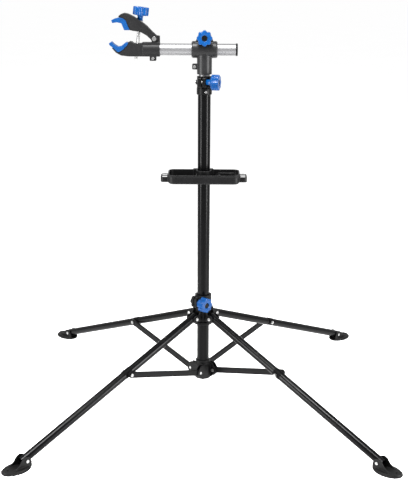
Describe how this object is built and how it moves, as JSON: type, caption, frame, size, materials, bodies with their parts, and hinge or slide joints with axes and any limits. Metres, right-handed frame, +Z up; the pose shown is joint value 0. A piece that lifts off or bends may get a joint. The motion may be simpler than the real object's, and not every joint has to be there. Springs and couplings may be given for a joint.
{
  "type": "bicycle repair stand",
  "caption": "Folding floor stand with a telescoping mast, tool tray and swivelling screw claw that grips a bicycle by its seat post.",
  "frame": {"origin": "on the floor under the mast, at the bottom centre of the box", "axes": "+Z up along the mast, X along the boom with the claw at -X, -Y the side of the clamping knobs"},
  "size_m": [1.0884, 1.0884, 1.213],
  "materials": {
    "mast_paint": "satin black powder coat",
    "leg_paint": "satin black powder coat",
    "brace_paint": "satin black powder coat",
    "head_paint": "fine-grained moulded plastic",
    "silver_tube": "satin, lightly brushed along the tube",
    "hub_plastic": "fine-grained moulded plastic",
    "jaw_plastic": "fine-grained moulded plastic",
    "blue_pad": "smooth soft plastic",
    "blue_knob": "moulded gloss",
    "tray_plastic": "fine-grained moulded plastic",
    "foot_plastic": "matt",
    "saddle_plastic": "matt",
    "cap_plastic": "matt",
    "nylon": "smooth nylon",
    "zinc": "zinc plate",
    "black_hardware": "black oxide",
    "zinc_thread": "rolled thread, zinc plate",
    "magnet_steel": "brushed"
  },
  "bodies": {
    "mast": {"mast_tube": "mast_paint", "lower_hub": "hub_plastic", "lower_hub_bolts": "zinc", "height_collar": "hub_plastic", "collar_screw": "zinc", "collar_nut": "black_hardware"},
    "inner_mast": {"inner_tube": "silver_tube", "guide_bush": "nylon"},
    "head": {"t_head": "head_paint", "head_side_screw": "zinc", "head_nut": "black_hardware"},
    "liner": {"boom_liner": "nylon"},
    "boom": {"boom_tube": "silver_tube", "boom_end_cap": "cap_plastic", "lower_jaw": "jaw_plastic", "lower_pad": "blue_pad", "jaw_clamp_screw": "zinc", "jaw_pin": "zinc"},
    "top_jaw": {"upper_jaw": "jaw_plastic", "upper_pad": "blue_pad"},
    "swivel_nut": {"barrel_nut": "black_hardware"},
    "claw_seat": {"claw_washer": "zinc"},
    "claw_handle": {"claw_knob": "blue_knob", "spindle": "zinc_thread"},
    "head_handle": {"head_knob": "blue_knob", "head_stud": "zinc"},
    "collar_handle": {"collar_knob": "blue_knob", "collar_stud": "zinc"},
    "leg_carrier": {"leg_hub": "hub_plastic", "leg_hub_bolts": "zinc", "hub_nut": "black_hardware"},
    "hub_handle": {"hub_knob": "blue_knob", "hub_stud": "zinc"},
    "tool_tray": {"tray": "tray_plastic", "tray_screw": "zinc", "tray_magnet": "magnet_steel"},
    "front_right_leg": {"leg_front_right": "leg_paint", "saddle_front_right": "saddle_plastic", "leg_bolts_front_right": "zinc"},
    "front_right_brace": {"brace_front_right": "brace_paint", "brace_bolt_front_right": "zinc"},
    "front_right_foot": {"foot_front_right": "foot_plastic"},
    "back_right_leg": {"leg_back_right": "leg_paint", "saddle_back_right": "saddle_plastic", "leg_bolts_back_right": "zinc"},
    "back_right_brace": {"brace_back_right": "brace_paint", "brace_bolt_back_right": "zinc"},
    "back_right_foot": {"foot_back_right": "foot_plastic"},
    "back_left_leg": {"leg_back_left": "leg_paint", "saddle_back_left": "saddle_plastic", "leg_bolts_back_left": "zinc"},
    "back_left_brace": {"brace_back_left": "brace_paint", "brace_bolt_back_left": "zinc"},
    "back_left_foot": {"foot_back_left": "foot_plastic"},
    "front_left_leg": {"leg_front_left": "leg_paint", "saddle_front_left": "saddle_plastic", "leg_bolts_front_left": "zinc"},
    "front_left_brace": {"brace_front_left": "brace_paint", "brace_bolt_front_left": "zinc"},
    "front_left_foot": {"foot_front_left": "foot_plastic"}
  },
  "joints": [
    {"name": "height_slide", "type": "slide", "parent": "mast", "child": "inner_mast", "axis": [0, 0, 1], "range_m": [-0.005, 0.78]},
    {"name": "head_swivel", "type": "hinge", "parent": "inner_mast", "child": "head", "pos_m": [0, 0, 1.05], "axis": [0, 0, 1], "continuous": true},
    {"name": "boom_turn", "type": "hinge", "parent": "head", "child": "liner", "pos_m": [0, 0, 1.09], "axis": [1, 0, 0], "continuous": true},
    {"name": "boom_slide", "type": "slide", "parent": "liner", "child": "boom", "axis": [1, 0, 0], "range_m": [-0.05, 0.088]},
    {"name": "jaw_hinge", "type": "hinge", "parent": "boom", "child": "top_jaw", "pos_m": [-0.1465, 0, 1.121], "axis": [0, 1, 0], "range_deg": [-20, 8]},
    {"name": "swivel_nut_turn", "type": "hinge", "parent": "boom", "child": "swivel_nut", "pos_m": [-0.1978, 0, 1.086], "axis": [0, 1, 0], "range_deg": [-11, 4.5]},
    {"name": "spindle_feed", "type": "slide", "parent": "swivel_nut", "child": "claw_seat", "axis": [0.1149, 0, 0.9934], "range_m": [-0.0168, 0.0068]},
    {"name": "claw_knob_turn", "type": "hinge", "parent": "claw_seat", "child": "claw_handle", "pos_m": [-0.1978, 0, 1.086], "axis": [0.1149, 0, 0.9934], "continuous": true},
    {"name": "head_knob_turn", "type": "hinge", "parent": "head", "child": "head_handle", "pos_m": [0, -0.03, 1.125], "axis": [0, -1, 0], "continuous": true},
    {"name": "collar_knob_turn", "type": "hinge", "parent": "mast", "child": "collar_handle", "pos_m": [-0.00594, -0.02572, 0.998], "axis": [0.9744, -0.225, 0], "continuous": true},
    {"name": "hub_slide", "type": "slide", "parent": "mast", "child": "leg_carrier", "axis": [0, 0, 1], "range_m": [0, 0.3595]},
    {"name": "hub_knob_turn", "type": "hinge", "parent": "leg_carrier", "child": "hub_handle", "pos_m": [-0.02298, -0.02298, 0.31815], "axis": [0.7071, -0.7071, 0], "continuous": true},
    {"name": "tray_slide", "type": "slide", "parent": "mast", "child": "tool_tray", "axis": [0, 0, 1], "range_m": [-0.35, 0.225]},
    {"name": "front_right_leg_fold", "type": "hinge", "parent": "leg_carrier", "child": "front_right_leg", "pos_m": [0.0314, -0.0314, 0.26815], "axis": [0.7071, 0.7071, 0], "range_deg": [0, 48.01]},
    {"name": "front_right_brace_fold", "type": "hinge", "parent": "mast", "child": "front_right_brace", "pos_m": [0.03592, -0.01089, 0.087], "axis": [-0.7071, -0.7071, 0], "range_deg": [0, 51.42]},
    {"name": "front_right_foot_tilt", "type": "hinge", "parent": "front_right_leg", "child": "front_right_foot", "pos_m": [0.4872, -0.4872, 0.022], "axis": [0.7071, 0.7071, 0], "range_deg": [-50, 15]},
    {"name": "back_right_leg_fold", "type": "hinge", "parent": "leg_carrier", "child": "back_right_leg", "pos_m": [0.0314, 0.0314, 0.26815], "axis": [-0.7071, 0.7071, 0], "range_deg": [0, 48.01]},
    {"name": "back_right_brace_fold", "type": "hinge", "parent": "mast", "child": "back_right_brace", "pos_m": [0.01089, 0.03592, 0.087], "axis": [0.7071, -0.7071, 0], "range_deg": [0, 51.42]},
    {"name": "back_right_foot_tilt", "type": "hinge", "parent": "back_right_leg", "child": "back_right_foot", "pos_m": [0.4872, 0.4872, 0.022], "axis": [-0.7071, 0.7071, 0], "range_deg": [-50, 15]},
    {"name": "back_left_leg_fold", "type": "hinge", "parent": "leg_carrier", "child": "back_left_leg", "pos_m": [-0.0314, 0.0314, 0.26815], "axis": [-0.7071, -0.7071, 0], "range_deg": [0, 48.01]},
    {"name": "back_left_brace_fold", "type": "hinge", "parent": "mast", "child": "back_left_brace", "pos_m": [-0.03592, 0.01089, 0.087], "axis": [0.7071, 0.7071, 0], "range_deg": [0, 51.42]},
    {"name": "back_left_foot_tilt", "type": "hinge", "parent": "back_left_leg", "child": "back_left_foot", "pos_m": [-0.4872, 0.4872, 0.022], "axis": [-0.7071, -0.7071, 0], "range_deg": [-50, 15]},
    {"name": "front_left_leg_fold", "type": "hinge", "parent": "leg_carrier", "child": "front_left_leg", "pos_m": [-0.0314, -0.0314, 0.26815], "axis": [0.7071, -0.7071, 0], "range_deg": [0, 48.01]},
    {"name": "front_left_brace_fold", "type": "hinge", "parent": "mast", "child": "front_left_brace", "pos_m": [-0.01089, -0.03592, 0.087], "axis": [-0.7071, 0.7071, 0], "range_deg": [0, 51.42]},
    {"name": "front_left_foot_tilt", "type": "hinge", "parent": "front_left_leg", "child": "front_left_foot", "pos_m": [-0.4872, -0.4872, 0.022], "axis": [0.7071, -0.7071, 0], "range_deg": [-50, 15]}
  ],
  "couplings": [
    {"joint": "swivel_nut_turn", "follows": "jaw_hinge", "ratio": 0.537},
    {"joint": "spindle_feed", "follows": "jaw_hinge", "m_per_rad": 0.047269},
    {"joint": "front_right_leg_fold", "follows": "hub_slide", "rad_per_m": 2.3282},
    {"joint": "front_right_brace_fold", "follows": "hub_slide", "rad_per_m": 2.4939},
    {"joint": "back_right_leg_fold", "follows": "hub_slide", "rad_per_m": 2.3282},
    {"joint": "back_right_brace_fold", "follows": "hub_slide", "rad_per_m": 2.4939},
    {"joint": "back_left_leg_fold", "follows": "hub_slide", "rad_per_m": 2.3282},
    {"joint": "back_left_brace_fold", "follows": "hub_slide", "rad_per_m": 2.4939},
    {"joint": "front_left_leg_fold", "follows": "hub_slide", "rad_per_m": 2.3282},
    {"joint": "front_left_brace_fold", "follows": "hub_slide", "rad_per_m": 2.4939}
  ]
}
